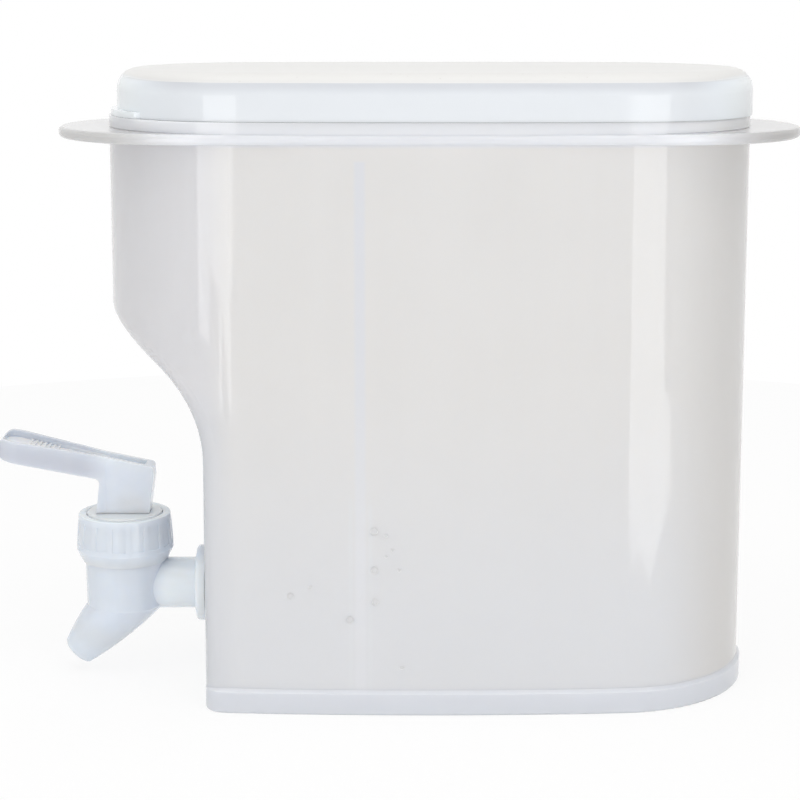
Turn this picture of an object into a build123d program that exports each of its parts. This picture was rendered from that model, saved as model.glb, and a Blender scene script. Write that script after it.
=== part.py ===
from build123d import *
from math import atan2, cos, radians, sin, sqrt, tan
import os

os.makedirs("parts", exist_ok=True)

# Fridge water jug with a lever tap, in millimetres. The tap points to -X, +Z is up, and the
# origin is on the standing plane, under the middle of the tank.

# Tank: plan at the rim, walls and heights
tank_half_length = 114.8
tank_half_width = 52.0
side_bulge = 2.2
draft_angle = 0.05
wall = 2.0
rim_top = 207.3
floor_top = 9.3
floor_thickness = 2.2
overrun = 5.0

# Tank: shelf over the tap, from the tap wall up to the end wall
tap_wall_inset = 35.5
shelf_foot_height = 108.6
shelf_angle = 39.0
shelf_bend_radius = 42.0
recess_edge_radius = 7.0

# Tank: foot skirt round the underside
foot_proud = 1.2
foot_band_height = 9.1
foot_wall = 2.6
foot_edge_radius = 1.2

# Tank: carrying flange, thick throat under the lid and the lip inside the lid
rim_band_height = 4.1
flange_thickness = 3.8
flange_overhang = 18.1
flange_side_proud = 0.5
flange_edge_radius = 1.5
throat_height = 9.0
throat_flare = 8.0
lip_height = 7.9
lip_thickness = 1.6

# Tank: ribs inside the long walls
rib_x = -24.3
rib_width = 2.9
rib_depth = 1.3
rib_top_drop = 13.1
short_rib_width = 1.4
short_rib_spacing = 3.4
short_rib_top = 77.0

# Lid: its plan, moved a little away from the tap end
lid_half_length = 113.7
lid_shift = 1.8
lid_side_gap = 0.3
lid_height = 16.4
lid_seat_gap = 0.04
lid_skirt = 1.6
lid_top_thickness = 2.2
lid_edge_radius = 7.5
lid_fit = 0.35
plug_skirt_thickness = 1.5
plug_skirt_drop = 3.4
thumb_lip_proud = 2.2
thumb_lip_thickness = 2.2
thumb_lip_half_span = 32.0
thumb_lip_corner_radius = 1.5

# Tap: place on the tank
tap_axis_height = 32.9
tap_reach = 33.3
part_fit = 0.1
moving_gap = 0.35

# Tap: inlet pipe, threaded shank and what clamps it to the wall
pipe_radius = 9.4
inlet_bore_radius = 5.8
shank_radius = 8.0
thread_pitch = 2.0
thread_depth = 0.8
wall_hole_clearance = 0.2
tap_flange_radius = 14.0
tap_flange_thickness = 3.6
tap_flange_edge_radius = 1.4
outer_washer_radius = 13.4
outer_washer_thickness = 3.0
inner_washer_radius = 12.6
inner_washer_thickness = 2.0
washer_edge_radius = 0.8
nut_across_flats = 22.0
nut_height = 6.0
nut_flange_radius = 12.6
nut_flange_thickness = 1.6
shank_end_past_nut = 2.4

# Tap: round body and its chamber
neck_radius = 14.7
body_low_radius = 14.4
body_low_drop = 7.5
chamber_radius = 11.7
seat_bore_radius = 5.2
seat_thickness = 3.6

# Tap: spout, from the body to its slanted mouth
spout_mid_shift = 10.4
spout_mid_drop = 18.7
spout_mid_radius = 9.6
spout_mid_tilt = 19.0
mouth_shift = 18.4
mouth_drop = 26.5
mouth_radius = 6.1
mouth_tilt = 43.0
spout_wall = 1.6
mouth_bore_length = 5.0
under_seat_shift = 1.4
under_seat_radius = 8.0
mouth_edge = 0.5

# Tap: ribbed collar that holds the stem guide down
collar_top_radius = 16.9
collar_wide_radius = 17.9
collar_low_radius = 15.7
collar_wide_drop = 13.0
collar_opening_radius = 13.9
collar_edge_radius = 0.6
flute_count = 16
flute_share = 0.68
flute_depth = 0.25
flute_top_drop = 2.3
flute_length = 8.8

# Tap: stem guide and its seals
guide_rise = 27.4
guide_boss_height = 3.1
guide_flange_radius = 14.6
guide_flange_thickness = 1.5
guide_edge_chamfer = 0.4
bonnet_seal_thickness = 1.2
bonnet_seal_width = 2.2
stem_seal_radius = 1.1
spring_seat_depth = 1.4

# Tap: valve stem, plug and return spring
stem_radius = 2.0
stem_head_radius = 1.6
stem_head_length = 6.2
stem_slide_fit = 0.08
stem_collar_radius = 6.4
stem_collar_thickness = 1.3
stem_foot_radius = 3.2
stem_foot_thickness = 1.8
plug_radius = 7.4
plug_disc_thickness = 3.0
plug_neck_radius = 4.6
plug_neck_height = 3.4
plug_nose_radius = 3.9
plug_nose_height = 1.8
plug_cap = 1.5
spring_wire_radius = 0.45
spring_radius = 5.3
spring_turns = 6

# Tap: lever, from its foot on the guide to the tip of the paddle
foot_left = 9.8
foot_right = 9.7
heel_right = 11.4
heel_height = 13.0
lever_back = 11.2
lever_back_height = 17.6
paddle_tip = 45.0
paddle_tip_height = 29.4
paddle_under_tip_height = 21.6
neck_corner_left = 8.3
neck_corner_height = 12.8
neck_corner_radius = 2.0
heel_radius = 1.5
root_width = 9.8
tip_width = 23.7
tip_corner_radius = 6.5
tip_round_radius = 2.8
paddle_spread_start = 6.2
tray_rim = 1.5
tray_depth = 2.6
tray_back_rim = 3.0
grip_count = 7
grip_pitch = 1.75
grip_width = 0.9
grip_height = 0.7
grip_first = 10.5
grip_side_gap = 0.8
lever_lip_thickness = 2.0
slot_headroom = 0.45
slot_back_wall = 2.0

# Places worked out from the sizes above
tap_wall_x = tap_wall_inset - tank_half_length
flange_bottom = rim_top - rim_band_height - flange_thickness
flange_half_length = tank_half_length + flange_overhang
rib_top = rim_top - rib_top_drop
guide_top_height = tap_axis_height + guide_rise
guide_bottom = guide_top_height - guide_boss_height - guide_flange_thickness
guide_boss_radius = collar_opening_radius - part_fit
neck_top_height = guide_bottom - bonnet_seal_thickness
chamber_floor_height = tap_axis_height - inlet_bore_radius
body_low_height = tap_axis_height - body_low_drop
under_seat_height = chamber_floor_height - seat_thickness
spout_mid_height = tap_axis_height - spout_mid_drop
mouth_height = tap_axis_height - mouth_drop
tap_axis_x = tap_wall_x - tap_reach
tap_side = Plane(origin=(tap_axis_x, 0, 0), x_dir=(1, 0, 0), z_dir=(0, -1, 0))
tap_axis = Axis((tap_axis_x, 0, 0), (0, 0, 1))
wall_side = Plane(origin=(tap_wall_x, 0, tap_axis_height), x_dir=(0, 1, 0), z_dir=(1, 0, 0))
shank_axis = Axis((tap_wall_x, 0, tap_axis_height), (1, 0, 0))
lid_half_width = tank_half_width - lid_side_gap
lid_bottom = rim_top + lid_seat_gap
lip_inset = lid_skirt + lid_fit
throat_inset = lip_inset + lip_thickness
plug_inset = throat_inset + lid_fit
lid_inner_radius = lid_edge_radius - lid_skirt
collar_top = guide_top_height - guide_edge_chamfer
collar_bottom = tap_axis_height + pipe_radius + part_fit
shank_end_x = tap_wall_x + wall + inner_washer_thickness + nut_height + shank_end_past_nut
foot_bottom = guide_top_height + part_fit
stem_head_height = foot_bottom + lever_lip_thickness + stem_head_radius + part_fit
plug_bottom = chamber_floor_height + moving_gap
stem_foot_bottom = plug_bottom + plug_cap
stem_collar_bottom = plug_bottom + plug_disc_thickness + plug_neck_height + part_fit


def jug_outline(half_length, half_width):
    # Round ends joined by long sides that bow out slightly, all tangent.
    end_radius = half_width - side_bulge
    end_centre = half_length - end_radius
    side_radius = (end_centre**2 + half_width**2 - end_radius**2) / (2 * side_bulge)
    side_centre = side_radius - half_width
    join_x = end_centre * side_radius / (side_radius - end_radius)
    join_y = sqrt(side_radius**2 - join_x**2) - side_centre
    with BuildSketch() as outline:
        with BuildLine():
            ThreePointArc((-join_x, -join_y), (0, -half_width), (join_x, -join_y))
            ThreePointArc((join_x, -join_y), (half_length, 0), (join_x, join_y))
            ThreePointArc((join_x, join_y), (0, half_width), (-join_x, join_y))
            ThreePointArc((-join_x, join_y), (-half_length, 0), (-join_x, -join_y))
        make_face()
    return outline.sketch


def lid_plan(inset):
    # The lid's plan set in from its side, which the tank's lip and throat follow too.
    with BuildSketch() as plan:
        with Locations((lid_shift, 0)):
            add(jug_outline(lid_half_length - inset, lid_half_width - inset))
    return plan.sketch


def draft_at(height):
    # How much narrower than the rim the tank is, on each side, at this height.
    return (rim_top - height) * tan(radians(draft_angle))


def spout_plane(shift, height, tilt):
    # A section plane of the spout, facing along its flow.
    flow = (-sin(radians(tilt)), 0, -cos(radians(tilt)))
    return Plane(origin=(tap_axis_x - shift, 0, height), x_dir=(0, 1, 0), z_dir=flow)


def tank_form(inset, bottom):
    # The tapered tank body from a bottom height to the rim, set in from its outer faces.
    shelf_slope = tan(radians(shelf_angle))
    with BuildPart() as form:
        with BuildSketch(Plane(origin=(0, 0, rim_top), z_dir=(0, 0, -1))):
            add(jug_outline(tank_half_length - inset, tank_half_width - inset))
        extrude(amount=rim_top - bottom, taper=draft_angle)
        corner_x = tap_wall_x + inset
        corner_z = shelf_foot_height + inset * (1 / cos(radians(shelf_angle)) - shelf_slope)
        outer_x = -tank_half_length - overrun
        outer_z = corner_z + (corner_x - outer_x) * shelf_slope
        with BuildSketch(Plane.XZ):
            with BuildLine():
                FilletPolyline(
                    (corner_x, bottom - overrun),
                    (corner_x, corner_z),
                    (outer_x, outer_z),
                    radius=shelf_bend_radius + inset,
                )
                Polyline(
                    (outer_x, outer_z), (outer_x, bottom - overrun), (corner_x, bottom - overrun)
                )
            make_face()
        extrude(amount=tank_half_width + overrun, both=True, mode=Mode.SUBTRACT)
        shelf_edges = (
            form.edges(Select.LAST)
            .filter_by(Axis.Y, reverse=True)
            .filter_by_position(Axis.Z, bottom + inset + wall, rim_top - overrun)
        )
        fillet(shelf_edges, recess_edge_radius - inset)
    return form.part


def foot_form(inset, corner_radius, height):
    # Block of the foot skirt: the tank's foot outline, cut flat at the tap wall.
    grown = foot_proud - draft_at(0) - inset
    with BuildPart() as form:
        with BuildSketch():
            add(jug_outline(tank_half_length + grown, tank_half_width + grown))
            with Locations((tap_wall_x + inset, 0)):
                Rectangle(
                    tank_half_length, 2 * tank_half_length,
                    align=(Align.MAX, Align.CENTER), mode=Mode.SUBTRACT,
                )
        extrude(amount=height)
        fillet(form.edges().filter_by(Axis.Z).group_by(Axis.X)[0], corner_radius)
    return form.part


mouth_plane = spout_plane(mouth_shift, mouth_height, mouth_tilt)

with BuildPart() as ribs:
    # One tall rib between two short ones, on the inner face of each long wall.
    with BuildSketch(Plane.XY.offset(floor_top)):
        with Locations((rib_x, 0)):
            Rectangle(rib_width, 2 * tank_half_width)
    extrude(amount=rib_top - floor_top)
    with BuildSketch(Plane.XY.offset(floor_top)):
        with Locations((rib_x - short_rib_spacing, 0), (rib_x + short_rib_spacing, 0)):
            Rectangle(short_rib_width, 2 * tank_half_width)
    extrude(amount=short_rib_top - floor_top)
    add(tank_form(wall / 2, 0), mode=Mode.INTERSECT)
    add(tank_form(wall + rib_depth, 0), mode=Mode.SUBTRACT)

with BuildPart() as rim_ring:
    # Thick wall behind the flange, flaring down from the narrower throat to the tank's wall.
    throat_bottom = rim_top - throat_height
    with BuildSketch(Plane.XY.offset(throat_bottom - throat_flare)):
        add(jug_outline(tank_half_length - wall / 2, tank_half_width - wall / 2))
    extrude(amount=throat_height + throat_flare)
    with BuildSketch(Plane.XY.offset(throat_bottom)):
        add(lid_plan(throat_inset))
    extrude(amount=throat_height, mode=Mode.SUBTRACT)
    with BuildSketch(Plane(origin=(0, 0, throat_bottom), z_dir=(0, 0, -1))):
        add(lid_plan(throat_inset))
    extrude(amount=throat_flare, taper=-45, mode=Mode.SUBTRACT)

with BuildPart() as flange:
    # Plate round the rim whose ends stick out as carrying tabs.
    with BuildSketch(Plane.XY.offset(flange_bottom)):
        add(jug_outline(flange_half_length, tank_half_width + flange_side_proud))
    extrude(amount=flange_thickness)
    fillet(flange.edges(), flange_edge_radius)

with BuildPart() as tank:
    # Foot skirt, sloped at its top into the tapered body.
    add(foot_form(0, recess_edge_radius, foot_band_height))
    chamfer(tank.edges().group_by(Axis.Z)[-1], foot_proud)
    add(tank_form(0, 0))
    fillet(tank.edges().group_by(Axis.Z)[0], foot_edge_radius)
    add(flange.part)
    add(tank_form(wall, floor_top), mode=Mode.SUBTRACT)
    add(rim_ring.part)
    with BuildSketch(Plane.XY.offset(rim_top)):
        add(lid_plan(lip_inset))
        add(lid_plan(throat_inset), mode=Mode.SUBTRACT)
    extrude(amount=lip_height)
    # Hollow under the floor, open downwards.
    foot_hollow_height = floor_top - floor_thickness
    foot_hollow = foot_form(foot_wall, recess_edge_radius - foot_wall, foot_hollow_height)
    add(foot_hollow, mode=Mode.SUBTRACT)
    add(ribs.part)
    # Hole for the tap's shank.
    with BuildSketch(wall_side.offset(-overrun)):
        Circle(shank_radius + wall_hole_clearance)
    extrude(amount=wall + 2 * overrun, mode=Mode.SUBTRACT)
tank.part.label = "tank"
export_step(tank.part, "parts/tank.step")

with BuildPart() as lid_hollow:
    with BuildSketch(Plane.XY.offset(lid_bottom)):
        add(lid_plan(lid_skirt))
    extrude(amount=lid_height - lid_top_thickness)
    fillet(lid_hollow.edges().group_by(Axis.Z)[-1], lid_inner_radius)

with BuildPart() as lid:
    with BuildSketch(Plane.XY.offset(lid_bottom)):
        add(lid_plan(0))
    extrude(amount=lid_height)
    fillet(lid.edges().group_by(Axis.Z)[-1], lid_edge_radius)
    # Thumb lip: a crescent on the end over the tap.
    with BuildSketch(Plane.XY.offset(lid_bottom)) as thumb_lip:
        with Locations((-thumb_lip_proud, 0)):
            add(lid_plan(0))
        with Locations((lid_shift - lid_half_length, 0)):
            Rectangle(
                2 * lid_half_width - thumb_lip_half_span, 2 * thumb_lip_half_span,
                mode=Mode.INTERSECT,
            )
        fillet(thumb_lip.vertices().group_by(Axis.X)[0], thumb_lip_corner_radius)
    extrude(amount=thumb_lip_thickness)
    add(lid_hollow.part, mode=Mode.SUBTRACT)
    # Second skirt that drops inside the tank's lip.
    with BuildSketch(Plane.XY.offset(lid_bottom - plug_skirt_drop)):
        add(lid_plan(plug_inset))
        add(lid_plan(plug_inset + plug_skirt_thickness), mode=Mode.SUBTRACT)
    extrude(amount=lid_height + plug_skirt_drop - lid_top_thickness)
lid.part.label = "lid"
export_step(lid.part, "parts/lid.step")

with BuildPart() as tap_body:
    # Round body under the collar.
    with BuildSketch(tap_side):
        with BuildLine():
            Polyline(
                (0, body_low_height),
                (body_low_radius, body_low_height),
                (neck_radius, collar_bottom),
                (neck_radius, neck_top_height),
                (0, neck_top_height),
                close=True,
            )
        make_face()
    revolve(axis=tap_axis)
    # Spout, bending forward and narrowing to its mouth.
    with BuildSketch(spout_plane(0, body_low_height, 0)):
        Circle(body_low_radius)
    with BuildSketch(spout_plane(spout_mid_shift, spout_mid_height, spout_mid_tilt)):
        Circle(spout_mid_radius)
    with BuildSketch(mouth_plane.offset(-mouth_edge)):
        Circle(mouth_radius)
    loft()
    with BuildSketch(mouth_plane.offset(-mouth_edge)):
        Circle(mouth_radius)
    extrude(amount=mouth_edge, taper=45)
    # Inlet pipe with its flange, and the shank through the wall.
    with BuildSketch(wall_side.offset(-outer_washer_thickness)):
        Circle(pipe_radius)
    extrude(amount=outer_washer_thickness - tap_reach)
    with BuildSketch(wall_side.offset(-outer_washer_thickness)):
        Circle(tap_flange_radius)
    extrude(amount=-tap_flange_thickness)
    fillet(
        tap_body.edges().filter_by(GeomType.CIRCLE).filter_by(
            lambda edge: abs(edge.radius - tap_flange_radius) < part_fit
        ).sort_by(Axis.X)[0],
        tap_flange_edge_radius,
    )
    with BuildSketch(wall_side.offset(-outer_washer_thickness)):
        Circle(shank_radius)
    extrude(amount=shank_end_x - tap_wall_x + outer_washer_thickness)
    # Chamber, seat, inlet bore and the passage down to the mouth.
    with BuildSketch(Plane.XY.offset(chamber_floor_height)):
        with Locations((tap_axis_x, 0)):
            Circle(chamber_radius)
    extrude(amount=neck_top_height - chamber_floor_height, mode=Mode.SUBTRACT)
    with BuildSketch(Plane.XY.offset(under_seat_height)):
        with Locations((tap_axis_x, 0)):
            Circle(seat_bore_radius)
    extrude(amount=chamber_floor_height - under_seat_height, mode=Mode.SUBTRACT)
    with BuildSketch(spout_plane(under_seat_shift, under_seat_height, 0)):
        Circle(under_seat_radius)
    with BuildSketch(spout_plane(spout_mid_shift, spout_mid_height, spout_mid_tilt)):
        Circle(spout_mid_radius - spout_wall)
    with BuildSketch(mouth_plane.offset(-mouth_bore_length)):
        Circle(mouth_radius - spout_wall)
    loft(mode=Mode.SUBTRACT)
    with BuildSketch(mouth_plane.offset(-mouth_bore_length)):
        Circle(mouth_radius - spout_wall)
    extrude(amount=mouth_bore_length + overrun, mode=Mode.SUBTRACT)
    with BuildSketch(Plane(origin=(shank_end_x, 0, tap_axis_height), z_dir=(-1, 0, 0))):
        Circle(inlet_bore_radius)
    extrude(amount=shank_end_x - tap_axis_x, mode=Mode.SUBTRACT)
    # Thread grooves on the shank, inside the tank.
    thread_start_x = tap_wall_x + wall
    groove_count = int((shank_end_x - thread_start_x) / thread_pitch)
    with BuildSketch(Plane.XZ):
        for groove in range(groove_count):
            groove_x = thread_start_x + thread_pitch * (groove + 0.5)
            with Locations((groove_x, tap_axis_height + shank_radius)):
                Polygon(
                    (-thread_depth, thread_depth / 4), (0, -thread_depth),
                    (thread_depth, thread_depth / 4), align=None,
                )
    revolve(axis=shank_axis, mode=Mode.SUBTRACT)
tap_body.part.label = "tap_body"
export_step(tap_body.part, "parts/tap_body.step")

with BuildPart() as outer_washer:
    with BuildSketch(wall_side):
        Circle(outer_washer_radius)
        Circle(shank_radius + part_fit, mode=Mode.SUBTRACT)
    extrude(amount=-outer_washer_thickness)
    rims = outer_washer.edges().filter_by(GeomType.CIRCLE).group_by(SortBy.RADIUS)[-1]
    fillet(rims.sort_by(Axis.X)[0], washer_edge_radius)
outer_washer.part.label = "outer_washer"
export_step(outer_washer.part, "parts/outer_washer.step")

with BuildPart() as inner_washer:
    with BuildSketch(wall_side.offset(wall)):
        Circle(inner_washer_radius)
        Circle(shank_radius + part_fit, mode=Mode.SUBTRACT)
    extrude(amount=inner_washer_thickness)
inner_washer.part.label = "inner_washer"
export_step(inner_washer.part, "parts/inner_washer.step")

with BuildPart() as lock_nut:
    nut_side = wall_side.offset(wall + inner_washer_thickness)
    with BuildSketch(nut_side):
        RegularPolygon(radius=nut_across_flats / 2, side_count=6, major_radius=False)
    extrude(amount=nut_height)
    with BuildSketch(nut_side):
        Circle(nut_flange_radius)
    extrude(amount=nut_flange_thickness)
    with BuildSketch(nut_side):
        Circle(shank_radius + part_fit)
    extrude(amount=nut_height, mode=Mode.SUBTRACT)
lock_nut.part.label = "lock_nut"
export_step(lock_nut.part, "parts/lock_nut.step")

with BuildPart() as flutes:
    # Wide shallow flutes that leave narrow grip ribs between them.
    with BuildSketch(tap_side):
        widening = (collar_wide_radius - collar_top_radius) / collar_wide_drop
        flute_top_radius = collar_top_radius + widening * flute_top_drop - flute_depth
        flute_low_radius = flute_top_radius + widening * flute_length
        flute_top = collar_top - flute_top_drop
        with BuildLine():
            Polyline(
                (flute_top_radius, flute_top),
                (flute_top_radius + overrun, flute_top),
                (flute_low_radius + overrun, flute_top - flute_length),
                (flute_low_radius, flute_top - flute_length),
                close=True,
            )
        make_face()
    revolve(axis=tap_axis)
    reach = collar_wide_radius + 2 * overrun
    half_angle = 180 / flute_count * flute_share
    with BuildSketch(Plane.XY.offset(collar_bottom)):
        with Locations((tap_axis_x, 0)):
            with PolarLocations(0, flute_count):
                Polygon(
                    (0, 0),
                    (reach * cos(radians(half_angle)), -reach * sin(radians(half_angle))),
                    (reach * cos(radians(half_angle)), reach * sin(radians(half_angle))),
                    align=None,
                )
    extrude(amount=collar_top - collar_bottom, mode=Mode.INTERSECT)

with BuildPart() as tap_collar:
    collar_bore_radius = neck_radius + part_fit
    lip_under = guide_bottom + guide_flange_thickness + part_fit
    with BuildSketch(tap_side):
        with BuildLine():
            Polyline(
                (collar_opening_radius, lip_under),
                (collar_bore_radius, lip_under),
                (collar_bore_radius, collar_bottom),
                (collar_low_radius, collar_bottom),
                (collar_wide_radius, collar_top - collar_wide_drop),
                (collar_top_radius, collar_top),
                (collar_opening_radius, collar_top),
                close=True,
            )
        make_face()
    revolve(axis=tap_axis)
    fillet(tap_collar.edges().group_by(Axis.Z)[-1], collar_edge_radius)
    add(flutes.part, mode=Mode.SUBTRACT)
tap_collar.part.label = "tap_collar"
export_step(tap_collar.part, "parts/tap_collar.step")

with BuildPart() as stem_guide:
    guide_bore_radius = stem_radius + stem_slide_fit
    seal_pocket_radius = guide_bore_radius + 2 * stem_seal_radius + part_fit
    spring_pocket_radius = spring_radius + spring_wire_radius + moving_gap
    spring_pocket_top = guide_bottom + spring_seat_depth
    seal_pocket_top = spring_pocket_top + 2 * stem_seal_radius + part_fit
    with BuildSketch(tap_side):
        with BuildLine():
            Polyline(
                (spring_pocket_radius, guide_bottom),
                (guide_flange_radius, guide_bottom),
                (guide_flange_radius, guide_bottom + guide_flange_thickness),
                (guide_boss_radius, guide_bottom + guide_flange_thickness),
                (guide_boss_radius, guide_top_height - guide_edge_chamfer),
                (guide_boss_radius - guide_edge_chamfer, guide_top_height),
                (guide_bore_radius, guide_top_height),
                (guide_bore_radius, seal_pocket_top),
                (seal_pocket_radius, seal_pocket_top),
                (seal_pocket_radius, spring_pocket_top),
                (spring_pocket_radius, spring_pocket_top),
                close=True,
            )
        make_face()
    revolve(axis=tap_axis)
stem_guide.part.label = "stem_guide"
export_step(stem_guide.part, "parts/stem_guide.step")

with BuildPart() as stem_seal:
    with BuildSketch(tap_side):
        seal_middle = spring_pocket_top + part_fit / 2 + stem_seal_radius
        with Locations((guide_bore_radius + stem_seal_radius, seal_middle)):
            Circle(stem_seal_radius)
    revolve(axis=tap_axis)
stem_seal.part.label = "stem_seal"
export_step(stem_seal.part, "parts/stem_seal.step")

with BuildPart() as bonnet_seal:
    with BuildSketch(Plane.XY.offset(neck_top_height)):
        with Locations((tap_axis_x, 0)):
            Circle(neck_radius - part_fit)
            Circle(neck_radius - part_fit - bonnet_seal_width, mode=Mode.SUBTRACT)
    extrude(amount=bonnet_seal_thickness)
bonnet_seal.part.label = "bonnet_seal"
export_step(bonnet_seal.part, "parts/bonnet_seal.step")

with BuildPart() as valve_stem:
    stem_foot_top = stem_foot_bottom + stem_foot_thickness
    stem_collar_top = stem_collar_bottom + stem_collar_thickness
    with BuildSketch(tap_side):
        with BuildLine():
            Polyline(
                (0, stem_foot_bottom),
                (stem_foot_radius, stem_foot_bottom),
                (stem_foot_radius, stem_foot_top),
                (stem_radius, stem_foot_top),
                (stem_radius, stem_collar_bottom),
                (stem_collar_radius, stem_collar_bottom),
                (stem_collar_radius, stem_collar_top),
                (stem_radius, stem_collar_top),
                (stem_radius, stem_head_height),
                (0, stem_head_height),
                close=True,
            )
        make_face()
    revolve(axis=tap_axis)
    # Cross head that the lever's foot hooks under.
    with BuildSketch(tap_side):
        with Locations((0, stem_head_height)):
            Circle(stem_head_radius)
    extrude(amount=stem_head_length / 2, both=True)
valve_stem.part.label = "valve_stem"
export_step(valve_stem.part, "parts/valve_stem.step")

with BuildPart() as valve_plug:
    plug_disc_top = plug_bottom + plug_disc_thickness
    plug_top = plug_disc_top + plug_neck_height
    with BuildSketch(tap_side) as half_plug:
        with BuildLine():
            Polyline(
                (0, plug_bottom - plug_nose_height),
                (plug_nose_radius, plug_bottom - plug_nose_height),
                (plug_neck_radius, plug_bottom),
                (plug_radius, plug_bottom),
                (plug_radius, plug_disc_top),
                (plug_neck_radius, plug_disc_top),
                (plug_neck_radius, plug_top),
                (stem_radius + part_fit, plug_top),
                (stem_radius + part_fit, stem_foot_top + part_fit),
                (stem_foot_radius + part_fit, stem_foot_top + part_fit),
                (stem_foot_radius + part_fit, stem_foot_bottom - part_fit),
                (0, stem_foot_bottom - part_fit),
                close=True,
            )
        make_face()
    revolve(axis=tap_axis)
valve_plug.part.label = "valve_plug"
export_step(valve_plug.part, "parts/valve_plug.step")

with BuildPart() as return_spring:
    # Compression spring between the stem's collar and the guide.
    spring_low = stem_collar_top + spring_wire_radius + part_fit
    spring_high = spring_pocket_top - spring_wire_radius - part_fit
    spring_pitch = (spring_high - spring_low) / spring_turns
    with BuildLine() as coil:
        Helix(
            pitch=spring_pitch, height=spring_high - spring_low, radius=spring_radius,
            center=(tap_axis_x, 0, spring_low),
        )
    with BuildSketch(Plane(origin=coil.line @ 0, z_dir=coil.line % 0)):
        Circle(spring_wire_radius)
    sweep()
    spring_gap = spring_pitch - 2 * spring_wire_radius
    print("return spring: least gap between turns", round(spring_gap, 2))
return_spring.part.label = "return_spring"
export_step(return_spring.part, "parts/return_spring.step")

lever_side = Plane(origin=(tap_axis_x, 0, foot_bottom), x_dir=(1, 0, 0), z_dir=(0, -1, 0))
rise = paddle_tip_height - lever_back_height
run = paddle_tip + lever_back
paddle_angle = atan2(rise, run)
tray_floor = Plane(
    origin=(tap_axis_x - paddle_tip, 0, foot_bottom + paddle_tip_height - tray_depth),
    x_dir=(cos(paddle_angle), 0, -sin(paddle_angle)),
    z_dir=(sin(paddle_angle), 0, cos(paddle_angle)),
)


def paddle_plan(inset, back_inset, height):
    # Prism over the lever's plan: narrow over the foot, spreading to a rounded tip.
    half_root = root_width / 2 - inset
    half_tip = tip_width / 2 - inset
    tip_x = inset - paddle_tip
    back_x = heel_right - back_inset
    with BuildPart() as prism:
        with BuildSketch(Plane.XY.offset(foot_bottom)) as plan:
            with Locations((tap_axis_x, 0)):
                Polygon(
                    (back_x, -half_root), (back_x, half_root), (-paddle_spread_start, half_root),
                    (tip_x, half_tip), (tip_x, -half_tip), (-paddle_spread_start, -half_root),
                    align=None,
                )
            fillet(plan.vertices().group_by(Axis.X)[0], tip_corner_radius - inset)
        extrude(amount=height)
    return prism.part


with BuildPart() as tray:
    # Hollow in the top of the paddle.
    with BuildSketch(tray_floor):
        Rectangle(2 * run, 2 * tip_width)
    extrude(amount=tray_depth + overrun)
    tray_plan = paddle_plan(tray_rim, tray_back_rim, paddle_tip_height + overrun)
    add(tray_plan, mode=Mode.INTERSECT)

with BuildPart() as grips:
    # Low bars across the tray's floor, under the thumb.
    with BuildSketch(tray_floor.offset(-grip_height)):
        for bar in range(grip_count):
            with Locations((grip_first + bar * grip_pitch, 0)):
                Rectangle(grip_width, tip_width)
    extrude(amount=2 * grip_height)
    grip_plan = paddle_plan(tray_rim + grip_side_gap, tray_back_rim, paddle_tip_height + overrun)
    add(grip_plan, mode=Mode.INTERSECT)

with BuildPart() as lever:
    with BuildSketch(lever_side) as side:
        Polygon(
            (-foot_left, 0), (foot_right, 0), (heel_right, heel_height),
            (lever_back, lever_back_height), (-paddle_tip, paddle_tip_height),
            (-paddle_tip, paddle_under_tip_height), (-neck_corner_left, neck_corner_height),
            align=None,
        )
        corners = side.vertices().sort_by(Axis.X)
        fillet(corners[0:2], tip_round_radius)
        fillet(side.vertices().sort_by_distance((-neck_corner_left, neck_corner_height))[0],
               neck_corner_radius)
        fillet(side.vertices().sort_by_distance((lever_back, lever_back_height))[0], heel_radius)
    extrude(amount=tip_width, both=True)
    add(paddle_plan(0, 0, paddle_tip_height + overrun), mode=Mode.INTERSECT)
    add(tray.part, mode=Mode.SUBTRACT)
    add(grips.part)
    # Slot for the stem, with a pocket for its cross head, which goes in at the slot's wide end.
    slot_width = 2 * (stem_radius + moving_gap)
    pocket_width = stem_head_length + 2 * moving_gap
    slot_right = foot_right - slot_back_wall
    pocket_length = slot_right + slot_width / 2
    with BuildSketch(Plane.XY.offset(foot_bottom)):
        with Locations((tap_axis_x + slot_right, 0)):
            Rectangle(pocket_length, slot_width, align=(Align.MAX, Align.CENTER))
            Rectangle(slot_width, pocket_width, align=(Align.MAX, Align.CENTER))
    extrude(amount=lever_lip_thickness, mode=Mode.SUBTRACT)
    with BuildSketch(Plane.XY.offset(foot_bottom + lever_lip_thickness)):
        with Locations((tap_axis_x + slot_right, 0)):
            Rectangle(pocket_length, pocket_width, align=(Align.MAX, Align.CENTER))
    extrude(amount=2 * stem_head_radius + part_fit + slot_headroom, mode=Mode.SUBTRACT)
lever.part.label = "lever"
export_step(lever.part, "parts/lever.step")
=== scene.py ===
import bpy
import bmesh
from math import radians
from mathutils import Matrix, Vector


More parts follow.
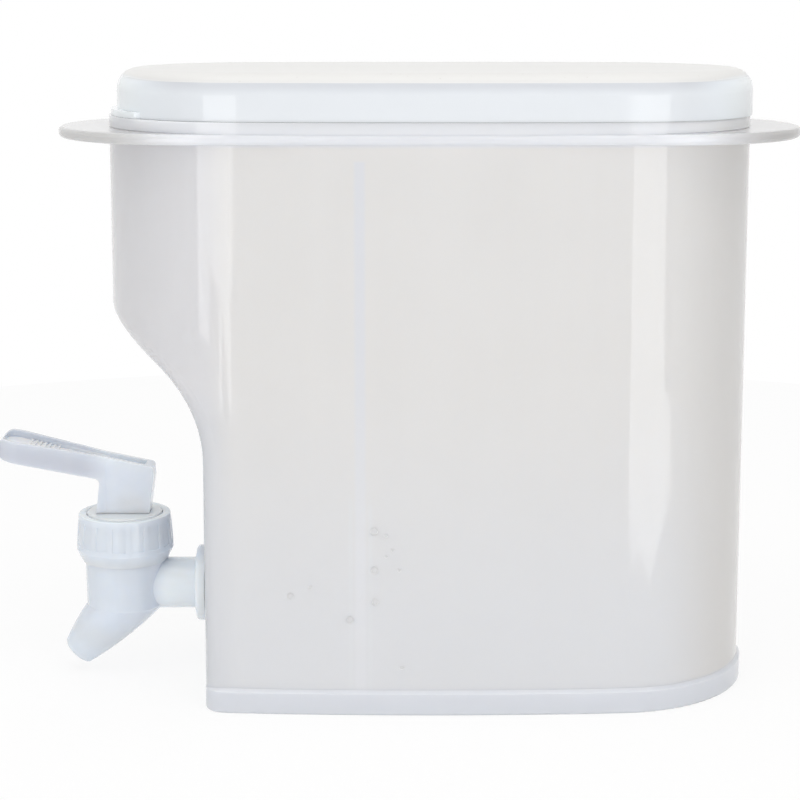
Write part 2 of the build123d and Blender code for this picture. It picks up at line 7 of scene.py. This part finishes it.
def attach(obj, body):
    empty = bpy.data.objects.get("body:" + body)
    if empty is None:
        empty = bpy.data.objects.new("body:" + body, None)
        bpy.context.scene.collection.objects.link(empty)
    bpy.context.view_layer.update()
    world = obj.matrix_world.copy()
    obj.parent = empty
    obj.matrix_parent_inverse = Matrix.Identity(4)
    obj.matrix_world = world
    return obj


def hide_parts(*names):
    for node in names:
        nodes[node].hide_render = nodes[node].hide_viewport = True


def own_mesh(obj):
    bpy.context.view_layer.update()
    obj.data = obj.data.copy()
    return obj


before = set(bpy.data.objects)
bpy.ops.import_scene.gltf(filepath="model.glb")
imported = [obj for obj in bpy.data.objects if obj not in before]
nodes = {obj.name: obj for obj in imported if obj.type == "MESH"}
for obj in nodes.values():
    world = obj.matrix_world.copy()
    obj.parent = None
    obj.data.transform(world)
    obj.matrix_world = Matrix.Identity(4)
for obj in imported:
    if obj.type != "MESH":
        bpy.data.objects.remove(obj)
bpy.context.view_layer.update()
print("frame loaded with", len(nodes), "solids")


# Helpers for materials. All patterns read Object coordinates, in metres.

def startMaterial(name, colour, roughness, **shaderValues):
    material = bpy.data.materials.new(name)
    material.use_nodes = True
    material.diffuse_color = (*colour, 1)
    tree = material.node_tree
    shader = tree.nodes["Principled BSDF"]
    shader.inputs["Base Color"].default_value = (*colour, 1)
    shader.inputs["Roughness"].default_value = roughness
    for socket, value in shaderValues.items():
        shader.inputs[socket.replace("_", " ")].default_value = value
    return material, tree, shader


def objectCoords(tree, stretch=(1, 1, 1)):
    coords = tree.nodes.new("ShaderNodeTexCoord")
    mapping = tree.nodes.new("ShaderNodeMapping")
    mapping.inputs["Scale"].default_value = stretch
    tree.links.new(coords.outputs["Object"], mapping.inputs["Vector"])
    return mapping.outputs["Vector"]


def axisValue(tree, axis):
    split = tree.nodes.new("ShaderNodeSeparateXYZ")
    tree.links.new(objectCoords(tree), split.inputs["Vector"])
    return split.outputs[axis]


def facing(tree, axis):
    # how far the surface looks along an axis: for Z, 1 on a level top and 0 on a wall
    surface = tree.nodes.new("ShaderNodeNewGeometry")
    split = tree.nodes.new("ShaderNodeSeparateXYZ")
    tree.links.new(surface.outputs["Normal"], split.inputs["Vector"])
    return split.outputs[axis]


def maths(tree, operation, first, second=0.0):
    node = tree.nodes.new("ShaderNodeMath")
    node.operation = operation
    for socket, value in zip(node.inputs, (first, second)):
        if isinstance(value, (int, float)):
            socket.default_value = value
        else:
            tree.links.new(value, socket)
    return node.outputs["Value"]


def product(tree, first, *others):
    for other in others:
        first = maths(tree, "MULTIPLY", first, other)
    return first


def ramp(tree, value, start, end, low=0.0, high=1.0):
    # smooth step from low at start to high at end
    node = tree.nodes.new("ShaderNodeMapRange")
    node.interpolation_type = "SMOOTHSTEP"
    for socket, number in (("From Min", start), ("From Max", end), ("To Min", low), ("To Max", high)):
        node.inputs[socket].default_value = number
    tree.links.new(value, node.inputs["Value"])
    return node.outputs["Result"]


def band(tree, value, middle, halfWidth, soft):
    # 1 inside a band round the middle value, falling softly to 0 outside it
    away = maths(tree, "ABSOLUTE", maths(tree, "SUBTRACT", value, middle))
    return ramp(tree, away, halfWidth + soft, halfWidth - soft)


def noise(tree, scale, detail=2.0, stretch=(1, 1, 1)):
    node = tree.nodes.new("ShaderNodeTexNoise")
    node.inputs["Scale"].default_value = scale
    node.inputs["Detail"].default_value = detail
    tree.links.new(objectCoords(tree, stretch), node.inputs["Vector"])
    return node.outputs["Fac"]


def shade(colour, factor):
    return tuple(c * factor for c in colour)


def mixColour(tree, factor, first, second):
    node = tree.nodes.new("ShaderNodeMix")
    node.data_type = "RGBA"
    tree.links.new(factor, node.inputs["Factor"])
    for socket, value in zip([s for s in node.inputs if s.type == "RGBA"], (first, second)):
        if isinstance(value, tuple):
            socket.default_value = (*value, 1)
        else:
            tree.links.new(value, socket)
    return next(s for s in node.outputs if s.type == "RGBA")


def addBump(tree, shader, height, strength, distance):
    bump = tree.nodes.new("ShaderNodeBump")
    bump.inputs["Strength"].default_value = strength
    bump.inputs["Distance"].default_value = distance
    tree.links.new(height, bump.inputs["Height"])
    tree.links.new(bump.outputs["Normal"], shader.inputs["Normal"])


def dress(nodeName, material):
    for slot in nodes[nodeName].material_slots:
        slot.material = material


def finishPiece(bm, name, material):
    mesh = bpy.data.meshes.new(name)
    bm.to_mesh(mesh)
    bm.free()
    mesh.materials.append(material)
    piece = bpy.data.objects.new(name, mesh)
    bpy.context.scene.collection.objects.link(piece)
    return piece


# The tank is frosted plastic, bluer where it is thick.

tankLook = {
    # a span is where a colour starts to take over and where it has done so
    "wallColour": (0.731, 0.717, 0.708),
    "lowWallColour": (0.708, 0.713, 0.736),
    "lowWallSpan": (0.13, 0.02),
    # painted shade: the wall is painted darker towards both ends, and darker and bluer low down at the tap
    # end
    "tapSideShadeColour": (0.684, 0.678, 0.696),
    "tapSideSpan": (-0.066, -0.080),
    "tapSideLowShadeColour": (0.636, 0.648, 0.680),
    "tapSideLowSpan": (0.120, 0.100),
    "farSideShadeColour": (0.668, 0.652, 0.640),
    "farSideSpan": (0.078, 0.108),
    "rimColour": (0.735, 0.748, 0.780),
    # painted light: the rim is painted lighter towards both ends, most at the far end, for light through
    # the plastic under the lid's overhang
    "rimTapEndLightColour": (0.790, 0.800, 0.830),
    "rimTapEndSpan": (-0.070, -0.105),
    "rimFarEndLightColour": (0.970, 0.965, 0.970),
    "rimFarEndSpan": (0.070, 0.108),
    "flangeColour": (0.705, 0.720, 0.757),
    "flangeBottomSpan": (0.1982, 0.2000),
    "flangeTopSpan": (0.2033, 0.2036),
    # painted shade: the tabs are painted darker than the flange, the far tab most, against the light they
    # catch
    "tapTabShadeColour": (0.520, 0.520, 0.522),
    "tapTabSpan": (-0.080, -0.112),
    "farTabShadeColour": (0.452, 0.448, 0.448),
    "farTabSpan": (0.085, 0.122),
    "longWallSpan": (0.046, 0.048),
    "ribColour": (0.688, 0.698, 0.738),
    "ribLowColour": (0.726, 0.731, 0.758),
    "ribLowSpan": (0.150, 0.050),
    "ribX": -0.0243,
    "ribHalfWidth": 0.0018,
    "ribTopSpan": (0.1948, 0.1936),
    "ribStrength": 0.85,
    "shortRibColour": (0.72, 0.735, 0.755),
    "shortRibSpacing": 0.0034,
    "shortRibHalfWidth": 0.0007,
    "shortRibTopSpan": (0.0810, 0.0730),
    "shortRibStrength": 0.4,
    "footColour": (0.655, 0.675, 0.720),
    "footTopSpan": (0.0099, 0.0085),
    "roughness": 0.02,
    "glow": 0.8,
    "glowDepth": 0.005,
}


def makeWallTone(tree, look, cloud):
    # cloudy frosting, bluer towards the foot, and painted shade: the wall is painted darker round both
    # ends, where less light reaches it
    x, z = axisValue(tree, "X"), axisValue(tree, "Z")
    plain = look["wallColour"]
    flow = noise(tree, 60, 2, (1, 1, 0.05))
    wall = mixColour(tree, ramp(tree, cloud, 0.3, 0.7), shade(plain, 0.985), plain)
    wall = mixColour(tree, ramp(tree, flow, 0.35, 0.75, 0, 0.5), wall, shade(plain, 1.02))
    wall = mixColour(tree, ramp(tree, z, *look["lowWallSpan"]), wall, look["lowWallColour"])
    tapSide = mixColour(tree, ramp(tree, z, *look["tapSideLowSpan"]),
                        look["tapSideShadeColour"], look["tapSideLowShadeColour"])
    wall = mixColour(tree, ramp(tree, x, *look["tapSideSpan"]), wall, tapSide)
    return mixColour(tree, ramp(tree, x, *look["farSideSpan"]), wall, look["farSideShadeColour"])


def addRibTone(tree, look, wall):
    # the tall rib inside each long wall shows through, and faintly the short ones beside it
    x, y, z = (axisValue(tree, axis) for axis in "XYZ")
    onLongWall = ramp(tree, maths(tree, "ABSOLUTE", y), *look["longWallSpan"])
    rib = product(tree, band(tree, x, look["ribX"], look["ribHalfWidth"], 0.0008),
                  ramp(tree, z, *look["ribTopSpan"]), onLongWall, look["ribStrength"])
    ribTone = mixColour(tree, ramp(tree, z, *look["ribLowSpan"]), look["ribColour"], look["ribLowColour"])
    wall = mixColour(tree, rib, wall, ribTone)
    fromRib = maths(tree, "ABSOLUTE", maths(tree, "SUBTRACT", x, look["ribX"]))
    besideRib = band(tree, fromRib, look["shortRibSpacing"], look["shortRibHalfWidth"], 0.0004)
    shortRibs = product(tree, besideRib, ramp(tree, z, *look["shortRibTopSpan"]),
                        onLongWall, look["shortRibStrength"])
    return mixColour(tree, shortRibs, wall, look["shortRibColour"])


def makeRimTone(tree, look):
    # the flange with its two tabs, and the rim above it; the tabs carry painted shade and the rim's ends
    # painted light
    x, z = axisValue(tree, "X"), axisValue(tree, "Z")
    flange = mixColour(tree, ramp(tree, x, *look["tapTabSpan"]), look["flangeColour"], look["tapTabShadeColour"])
    flange = mixColour(tree, ramp(tree, x, *look["farTabSpan"]), flange, look["farTabShadeColour"])
    rim = mixColour(tree, ramp(tree, x, *look["rimTapEndSpan"]), look["rimColour"], look["rimTapEndLightColour"])
    rim = mixColour(tree, ramp(tree, x, *look["rimFarEndSpan"]), rim, look["rimFarEndLightColour"])
    return mixColour(tree, ramp(tree, z, *look["flangeTopSpan"]), flange, rim)


def makeFrostedTank(look):
    material, tree, shader = startMaterial(
        "frosted tank", look["wallColour"], look["roughness"],
        Subsurface_Weight=look["glow"], Subsurface_Scale=look["glowDepth"],
        Subsurface_Radius=(1.0, 0.95, 0.9), IOR=1.49)
    z = axisValue(tree, "Z")
    cloud = noise(tree, 22, 3)
    tone = addRibTone(tree, look, makeWallTone(tree, look, cloud))
    tone = mixColour(tree, ramp(tree, z, *look["flangeBottomSpan"]), tone, makeRimTone(tree, look))
    tone = mixColour(tree, ramp(tree, z, *look["footTopSpan"]), tone, look["footColour"])
    tree.links.new(tone, shader.inputs["Base Color"])
    tree.links.new(ramp(tree, cloud, 0.25, 0.75, look["roughness"] * 0.7, look["roughness"] * 1.5),
                   shader.inputs["Roughness"])
    addBump(tree, shader, noise(tree, 14, 1, (1, 1, 0.6)), 0.05, 0.003)
    return material


dress("tank", makeFrostedTank(tankLook))
print("tank dressed")


# The lid is glossy white plastic with a satin, slightly dusty top.

lidLook = {
    "sideColour": (0.744, 0.773, 0.808),
    "sideRoughness": 0.05,
    "endLightColour": (0.888, 0.946, 1.000),
    "endSpan": (0.085, 0.112),
    "creaseShadeColour": (0.622, 0.642, 0.680),
    "creaseHeight": 0.2204,
    "creaseShadeDepth": 0.0045,
    "creaseSpan": (-0.0001, 0.0002),
    "softCreaseSpan": (0.090, 0.112),
    "softCreaseStretch": 12,
    "topColour": (0.777, 0.775, 0.764),
    "topRoughness": 0.42,
    "topEdgeShadeColour": (0.728, 0.728, 0.725),
    "topEdgeShadeWidth": 0.0020,
    "dustColour": (0.55, 0.53, 0.50),
    "dustStrength": 0.25,
}


def makeLidPlastic(look):
    material, tree, shader = startMaterial(
        "lid plastic", look["sideColour"], look["sideRoughness"],
        Subsurface_Weight=0.6, Subsurface_Scale=0.002, Subsurface_Radius=(1.0, 1.0, 1.0), IOR=1.49)
    z = axisValue(tree, "Z")
    fromMiddle = maths(tree, "ABSOLUTE", axisValue(tree, "X"))
    crease = look["creaseHeight"]
    # the line between side and top is sharp along the lid and soft round its ends
    stretch = ramp(tree, fromMiddle, *look["softCreaseSpan"], 1, look["softCreaseStretch"])
    overCrease = maths(tree, "DIVIDE", maths(tree, "SUBTRACT", z, crease), stretch)
    onTop = ramp(tree, overCrease, *look["creaseSpan"])
    side = mixColour(tree, ramp(tree, noise(tree, 30, 2), 0.3, 0.7),
                     shade(look["sideColour"], 0.985), look["sideColour"])
    # painted shade: a darker band on the side just under the crease, and a darker edge along the top just
    # over it
    side = mixColour(tree, ramp(tree, z, crease - look["creaseShadeDepth"], crease - 0.0003),
                     side, look["creaseShadeColour"])
    # painted light: the side is painted lighter round both ends, for light that comes through the thin lid
    # there
    side = mixColour(tree, ramp(tree, fromMiddle, *look["endSpan"]), side, look["endLightColour"])
    top = mixColour(tree, ramp(tree, z, crease, crease + look["topEdgeShadeWidth"]),
                    look["topEdgeShadeColour"], look["topColour"])
    dust = product(tree, ramp(tree, noise(tree, 700, 0), 0.80, 0.84), look["dustStrength"])
    top = mixColour(tree, dust, top, look["dustColour"])
    tree.links.new(mixColour(tree, onTop, side, top), shader.inputs["Base Color"])
    tree.links.new(ramp(tree, overCrease, *look["creaseSpan"], look["sideRoughness"], look["topRoughness"]),
                   shader.inputs["Roughness"])
    addBump(tree, shader, noise(tree, 18, 1), 0.05, 0.003)
    return material


dress("lid", makeLidPlastic(lidLook))
print("lid dressed")


# The tap is bluish white moulded plastic.

tapLook = {
    "colour": (0.700, 0.750, 0.825),
    "roughness": 0.10,
    "litTopFaceColour": (0.800, 0.880, 1.000),
    "guideLightColour": (0.865, 0.930, 1.000),
    "pipeLightColour": (0.835, 0.890, 1.000),
    "pipeSpan": (-0.104, -0.096),
    "pipeTopSpan": (0.048, 0.042),
    # painted light on the lever's neck and painted shade on its paddle, lit and shaded copies of one
    # plastic
    "leverLightColour": (0.735, 0.775, 0.835),
    "paddleShadeColour": (0.575, 0.597, 0.655),
    "paddleSpan": (-0.116, -0.128),
    "trayLightColour": (0.880, 0.890, 0.900),
    "trayFloor": 0.0545,
    "traySlope": 0.21,
    "trayTaper": 0.179,
    "traySideSpan": (-0.0176, -0.0180),
    "trayTipSpan": (-0.152, -0.150),
    "innerColour": (0.70, 0.72, 0.75),
    "innerRoughness": 0.25,
}


def onLitInletPipe(tree, look):
    # painted light: the pipe and flange beside the tank are painted lighter, for the light that comes
    # through them
    beside = ramp(tree, axisValue(tree, "X"), *look["pipeSpan"])
    return product(tree, beside, ramp(tree, axisValue(tree, "Z"), *look["pipeTopSpan"]))


def onLitTopFace(tree, look):
    # painted light: faces that look up are painted lighter, for the light from above that fills them
    return ramp(tree, facing(tree, "Z"), 0.5, 0.9)


def onShadedPaddle(tree, look):
    # painted shade: the thin walls of the paddle, past the lever's neck, are painted darker than the neck,
    # which is painted lighter
    return ramp(tree, axisValue(tree, "X"), *look["paddleSpan"])


def onLitTrayFloor(tree, look):
    # painted light: the sloped floor of the lever's tray and its grip bars, inside the rim, painted lighter
    # in place of the light the deep tray keeps out
    x, y, z = (axisValue(tree, axis) for axis in "XYZ")
    height = maths(tree, "ADD", z, product(tree, x, look["traySlope"]))
    floor = band(tree, height, look["trayFloor"], 0.0009, 0.0002)
    toSide = maths(tree, "ADD", maths(tree, "ABSOLUTE", y), product(tree, x, look["trayTaper"]))
    # at the tip only what looks up is floor
    clearOfTip = ramp(tree, x, *look["trayTipSpan"])
    inTray = maths(tree, "MAXIMUM", clearOfTip, ramp(tree, facing(tree, "Z"), 0.5, 0.8))
    return product(tree, floor, ramp(tree, toSide, *look["traySideSpan"]), inTray)


def makeTapPlastic(look, name, colour, roughness, *areas):
    # areas: painted light and shade, each as a mask and the colour it paints
    material, tree, shader = startMaterial(
        name, colour, roughness,
        Subsurface_Weight=0.85, Subsurface_Scale=0.004, Subsurface_Radius=(0.8, 0.9, 1.0), IOR=1.49)
    cloud = noise(tree, 120, 2)
    tone = mixColour(tree, ramp(tree, cloud, 0.3, 0.7), shade(colour, 0.97), colour)
    for mask, areaColour in areas:
        tone = mixColour(tree, mask(tree, look), tone, areaColour)
    tree.links.new(tone, shader.inputs["Base Color"])
    tree.links.new(ramp(tree, cloud, 0.2, 0.8, roughness * 0.8, roughness * 1.3),
                   shader.inputs["Roughness"])
    addBump(tree, shader, noise(tree, 90, 1), 0.08, 0.001)
    return material


collarPlastic = makeTapPlastic(tapLook, "tap plastic", tapLook["colour"], tapLook["roughness"],
                               (onLitTopFace, tapLook["litTopFaceColour"]))
dress("tap_collar", collarPlastic)
dress("lock_nut", collarPlastic)
# painted light: the stem guide is painted lighter than the rest of the tap, making up for the shade it sits
# in
dress("stem_guide", makeTapPlastic(tapLook, "guide plastic", tapLook["guideLightColour"], tapLook["roughness"]))
dress("tap_body", makeTapPlastic(tapLook, "tap body plastic", tapLook["colour"], tapLook["roughness"],
                                 (onLitInletPipe, tapLook["pipeLightColour"])))
dress("lever", makeTapPlastic(tapLook, "lever plastic", tapLook["leverLightColour"], tapLook["roughness"],
                              (onShadedPaddle, tapLook["paddleShadeColour"]), (onLitTrayFloor, tapLook["trayLightColour"])))
dress("valve_stem", makeTapPlastic(tapLook, "stem plastic", tapLook["innerColour"],
                                   tapLook["innerRoughness"]))
print("tap dressed")


# The seals are soft, slightly dusty rubber.

sealLook = {
    "whiteColour": (0.80, 0.81, 0.82),
    "blackColour": (0.03, 0.03, 0.032),
    "roughness": 0.55,
}


def makeRubber(name, colour, roughness):
    material, tree, shader = startMaterial(name, colour, roughness, Sheen_Weight=0.1)
    bloom = noise(tree, 400, 3)
    dusty = tuple(min(1, c * 1.1 + 0.01) for c in colour)
    tree.links.new(mixColour(tree, ramp(tree, bloom, 0.35, 0.75), colour, dusty),
                   shader.inputs["Base Color"])
    tree.links.new(ramp(tree, bloom, 0.3, 0.7, roughness * 0.85, roughness * 1.15),
                   shader.inputs["Roughness"])
    addBump(tree, shader, noise(tree, 2500, 3), 0.15, 0.0001)
    return material


slotRubber = {
    "seal_rubber": makeRubber("white seal rubber", sealLook["whiteColour"], sealLook["roughness"]),
    "black_seal": makeRubber("black seal rubber", sealLook["blackColour"], sealLook["roughness"]),
}
for name in ("outer_washer", "inner_washer", "valve_plug", "stem_seal", "bonnet_seal"):
    for slot in nodes[name].material_slots:
        slot.material = slotRubber[slot.material.name.split(".")[0]]
print("seals dressed")


# The return spring is drawn steel wire; here it keeps the shape of its solid and does not shorten as the
# valve stem's collar rises.

springLook = {
    "colour": (0.62, 0.62, 0.60),
    "roughness": 0.28,
    "fixedEnd": (-0.1126, 0, 0.0570),
    "shortest": 0.843,
}


def makeSpringSteel(look):
    material, tree, shader = startMaterial("spring steel", look["colour"], look["roughness"], Metallic=1.0)
    drawn = noise(tree, 1800, 3, (1, 1, 0.2))
    tree.links.new(mixColour(tree, drawn, shade(look["colour"], 0.85), look["colour"]),
                   shader.inputs["Base Color"])
    tree.links.new(ramp(tree, drawn, 0.3, 0.7, look["roughness"] - 0.08, look["roughness"] + 0.10),
                   shader.inputs["Roughness"])
    addBump(tree, shader, drawn, 0.1, 0.0001)
    return material


def makeSpringCoil(look):
    solid = nodes["return_spring"]
    bm = bmesh.new()
    bm.from_mesh(solid.data)
    bmesh.ops.transform(bm, verts=bm.verts, matrix=solid.matrix_world)
    bmesh.ops.remove_doubles(bm, verts=bm.verts, dist=1e-6)
    return finishPiece(bm, "springCoil", makeSpringSteel(look))


springCoil = makeSpringCoil(springLook)
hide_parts("return_spring")
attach(springCoil, "tank")
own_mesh(springCoil)
print("spring in place")


# A few water drops are left on the front wall of the tank.

dropLook = {
    # x, z, half width, half height
    "drops": [(-0.0488, 0.0429, 0.0011, 0.0010), (-0.0418, 0.0461, 0.0007, 0.0007),
              (-0.0280, 0.0346, 0.0011, 0.0012), (-0.0195, 0.0664, 0.0012, 0.0012),
              (-0.0154, 0.0648, 0.0006, 0.0007), (-0.0131, 0.0596, 0.0006, 0.0006),
              (-0.0154, 0.0573, 0.0005, 0.0005), (-0.0194, 0.0524, 0.0011, 0.0012),
              (-0.0108, 0.0524, 0.0006, 0.0006), (-0.0192, 0.0411, 0.0010, 0.0011),
              (-0.0099, 0.0173, 0.0009, 0.0006)],
    "rise": 0.0002,
    "sunk": 0.25,
    "sag": (1.08, 1.25, 1.15),
    "waterColour": (0.610, 0.613, 0.625),
    "edgeLightColour": (0.97, 0.97, 0.97),
    "highEdgeShadeColour": (0.66, 0.66, 0.67),
}


def makeWater(look):
    # clear water shows the wall behind it, and gathers light round its edge, least at the top: that light
    # is painted, bright round the edge and darker at the top
    material, tree, shader = startMaterial(
        "water", look["waterColour"], 0.02, Specular_IOR_Level=0.15, IOR=1.33)
    edge = mixColour(tree, ramp(tree, facing(tree, "Z"), 0.0, 0.3),
                     look["edgeLightColour"], look["highEdgeShadeColour"])
    front = maths(tree, "ABSOLUTE", facing(tree, "Y"))
    tone = mixColour(tree, ramp(tree, front, 0.97, 0.85), look["waterColour"], edge)
    tree.links.new(tone, shader.inputs["Base Color"])
    tree.links.new(ramp(tree, noise(tree, 700, 1), 0.3, 0.7, 0.01, 0.04), shader.inputs["Roughness"])
    return material


def addDrop(bm, look, x, z, halfWidth, halfHeight):
    # a flattened ball, cut off a little way behind the wall's surface
    place = nodes["tank"].ray_cast(Vector((x, -0.2, z)), Vector((0, 1, 0)))[1]
    ball = bmesh.ops.create_icosphere(bm, subdivisions=3, radius=1)["verts"]
    faces = list({f for v in ball for f in v.link_faces})
    edges = list({e for v in ball for e in v.link_edges})
    cut = bmesh.ops.bisect_plane(bm, geom=ball + edges + faces, plane_co=(0, look["sunk"], 0),
                                 plane_no=(0, 1, 0), clear_outer=True)["geom_cut"]
    bmesh.ops.edgeloop_fill(bm, edges=[e for e in cut if isinstance(e, bmesh.types.BMEdge)])
    drop = [v for v in ball if v.is_valid] + [v for v in cut if isinstance(v, bmesh.types.BMVert)]
    bmesh.ops.transform(bm, verts=drop, matrix=Matrix.Diagonal((halfWidth, look["rise"], halfHeight, 1)))
    lowHalf = [v for v in drop if v.co.z < 0]
    bmesh.ops.transform(bm, verts=lowHalf, matrix=Matrix.Diagonal((*look["sag"], 1)))
    bmesh.ops.translate(bm, verts=drop, vec=place)


def makeWaterDrops(look):
    bm = bmesh.new()
    for x, z, halfWidth, halfHeight in look["drops"]:
        addDrop(bm, look, x, z, halfWidth, halfHeight)
    bmesh.ops.recalc_face_normals(bm, faces=bm.faces)
    for face in bm.faces:
        face.smooth = True
    return finishPiece(bm, "waterDrops", makeWater(look))


waterDrops = makeWaterDrops(dropLook)
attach(waterDrops, "tank")
print("water drops on the front wall")


# Floor, light and camera.

studio = {
    "floorRadius": 0.6,
    "floorGlow": 0.85,
    "worldStrength": 0.97,
    "worldLeftLoss": 0.45,
    "worldRightLoss": 0.69,
    "panelStrength": 3.0,
    "panelDistance": 0.95,
    # outlines across and up each softbox, in metres
    "leftTurn": -36,
    "leftPanels": [
        [(-0.085, 0.135), (0.373, 0.135), (0.373, 0.25), (-0.085, 0.25)],
        [(-0.085, 0.135), (-0.0867, -0.0127), (0.0438, -0.0258), (0.0743, 0.0378), (0.090, 0.10),
         (0.100, 0.135)],
        [(0.106, 0.135), (0.098, 0.10), (0.076, 0.04), (0.1245, 0.022), (0.1676, 0.0186),
         (0.1748, -0.0741), (0.2018, -0.0777), (0.2095, 0.0109), (0.266, -0.0895), (0.285, -0.0925),
         (0.372, 0.0), (0.373, 0.135)]],
    "rightTurn": 39.5,
    "rightPanels": [
        [(-0.412, 0.33), (-0.4084, -0.0048), (-0.2848, -0.1934), (-0.2753, -0.2104), (-0.2175, -0.1883),
         (-0.0675, -0.2123), (0.0455, -0.1793), (0.2025, -0.1443), (0.1855, -0.0622), (0.0849, -0.0561),
         (0.0583, 0.1259), (0.065, 0.33)]],
    "topPanels": [[(-0.55, -0.44), (0.55, -0.44), (0.55, -0.12), (-0.55, -0.12)]],
    "topStrength": 2.5,
    "topHeight": 0.9,
    "topColour": (1, 0.985, 0.955),
    "cameraPlace": (-0.0106, -0.751, 0.256),
    "cameraPitch": 81.05,
    "cameraLens": 93.8,
    "cameraShift": -0.12,
}


def seenOrReflected(tree):
    # 1 for rays that show the backdrop, 0 for those that light the object
    path = tree.nodes.new("ShaderNodeLightPath")
    seen = maths(tree, "MAXIMUM", path.outputs["Is Camera Ray"], path.outputs["Is Glossy Ray"])
    return maths(tree, "MAXIMUM", seen, path.outputs["Is Transmission Ray"])


def makeFloor(look):
    material, tree, shader = startMaterial("floor white", (0.97, 0.97, 0.97), 0.9)
    glow = tree.nodes.new("ShaderNodeEmission")
    glow.inputs["Color"].default_value = (1, 1, 1, 1)
    mix = tree.nodes.new("ShaderNodeMixShader")
    tree.links.new(product(tree, seenOrReflected(tree), look["floorGlow"]), mix.inputs["Fac"])
    tree.links.new(shader.outputs["BSDF"], mix.inputs[1])
    tree.links.new(glow.outputs["Emission"], mix.inputs[2])
    tree.links.new(mix.outputs["Shader"], tree.nodes["Material Output"].inputs["Surface"])
    bm = bmesh.new()
    bmesh.ops.create_circle(bm, cap_ends=True, segments=128, radius=look["floorRadius"])
    floor = finishPiece(bm, "floor", material)
    floor.visible_glossy = False  # gloss sees the white backdrop and the softboxes past it


def makeWorld(look):
    # white where it shows, and dimmer to the left and right where it lights the jug
    world = bpy.data.worlds.new("white studio")
    bpy.context.scene.world = world
    world.use_nodes = True
    tree = world.node_tree
    background = tree.nodes["Background"]
    background.inputs["Color"].default_value = (1, 1, 1, 1)
    direction = tree.nodes.new("ShaderNodeTexCoord")
    split = tree.nodes.new("ShaderNodeSeparateXYZ")
    tree.links.new(direction.outputs["Generated"], split.inputs["Vector"])
    fromLeft = ramp(tree, split.outputs["X"], -0.25, -1.0, 0, look["worldLeftLoss"])
    fromRight = ramp(tree, split.outputs["X"], 0.25, 1.0, 0, look["worldRightLoss"])
    loss = maths(tree, "ADD", fromLeft, fromRight)
    light = product(tree, maths(tree, "SUBTRACT", 1.0, loss), look["worldStrength"])
    seen = seenOrReflected(tree)
    strength = maths(tree, "ADD", seen, product(tree, light, maths(tree, "SUBTRACT", 1.0, seen)))
    tree.links.new(strength, background.inputs["Strength"])


def addSoftbox(name, outlines, place, strength, colour=(1, 1, 1)):
    # place: matrix that stands the flat outlines up where the softbox hangs
    bm = bmesh.new()
    for outline in outlines:
        bm.faces.new([bm.verts.new((across, up, 0)) for across, up in outline])
    bmesh.ops.transform(bm, verts=bm.verts, matrix=place)
    material = bpy.data.materials.new(name)
    material.use_nodes = True
    tree = material.node_tree
    tree.nodes.remove(tree.nodes["Principled BSDF"])
    glow = tree.nodes.new("ShaderNodeEmission")
    glow.inputs["Color"].default_value = (*colour, 1)
    glow.inputs["Strength"].default_value = strength
    tree.links.new(glow.outputs["Emission"], tree.nodes["Material Output"].inputs["Surface"])
    softbox = finishPiece(bm, name, material)
    softbox.visible_camera = False


def standing(turn, distance):
    # an upright plane facing the jug, turned round it from the front
    return (Matrix.Rotation(radians(turn), 4, "Z") @ Matrix.Translation((0, -distance, 0))
            @ Matrix.Rotation(radians(90), 4, "X"))


def makeCamera(look):
    data = bpy.data.cameras.new("camera")
    data.lens = look["cameraLens"]
    data.sensor_width = 36
    data.shift_y = look["cameraShift"]
    camera = bpy.data.objects.new("camera", data)
    camera.location = look["cameraPlace"]
    camera.rotation_euler = (radians(look["cameraPitch"]), 0, 0)
    bpy.context.scene.collection.objects.link(camera)
    bpy.context.scene.camera = camera


makeFloor(studio)
makeWorld(studio)
addSoftbox("softbox left", studio["leftPanels"], standing(studio["leftTurn"], studio["panelDistance"]),
           studio["panelStrength"])
addSoftbox("softbox right", studio["rightPanels"], standing(studio["rightTurn"], studio["panelDistance"]),
           studio["panelStrength"])
addSoftbox("softbox top", studio["topPanels"], Matrix.Translation((0, 0, studio["topHeight"])),
           studio["topStrength"], studio["topColour"])
makeCamera(studio)
bpy.context.scene.view_settings.view_transform = "Standard"
print("studio set up")
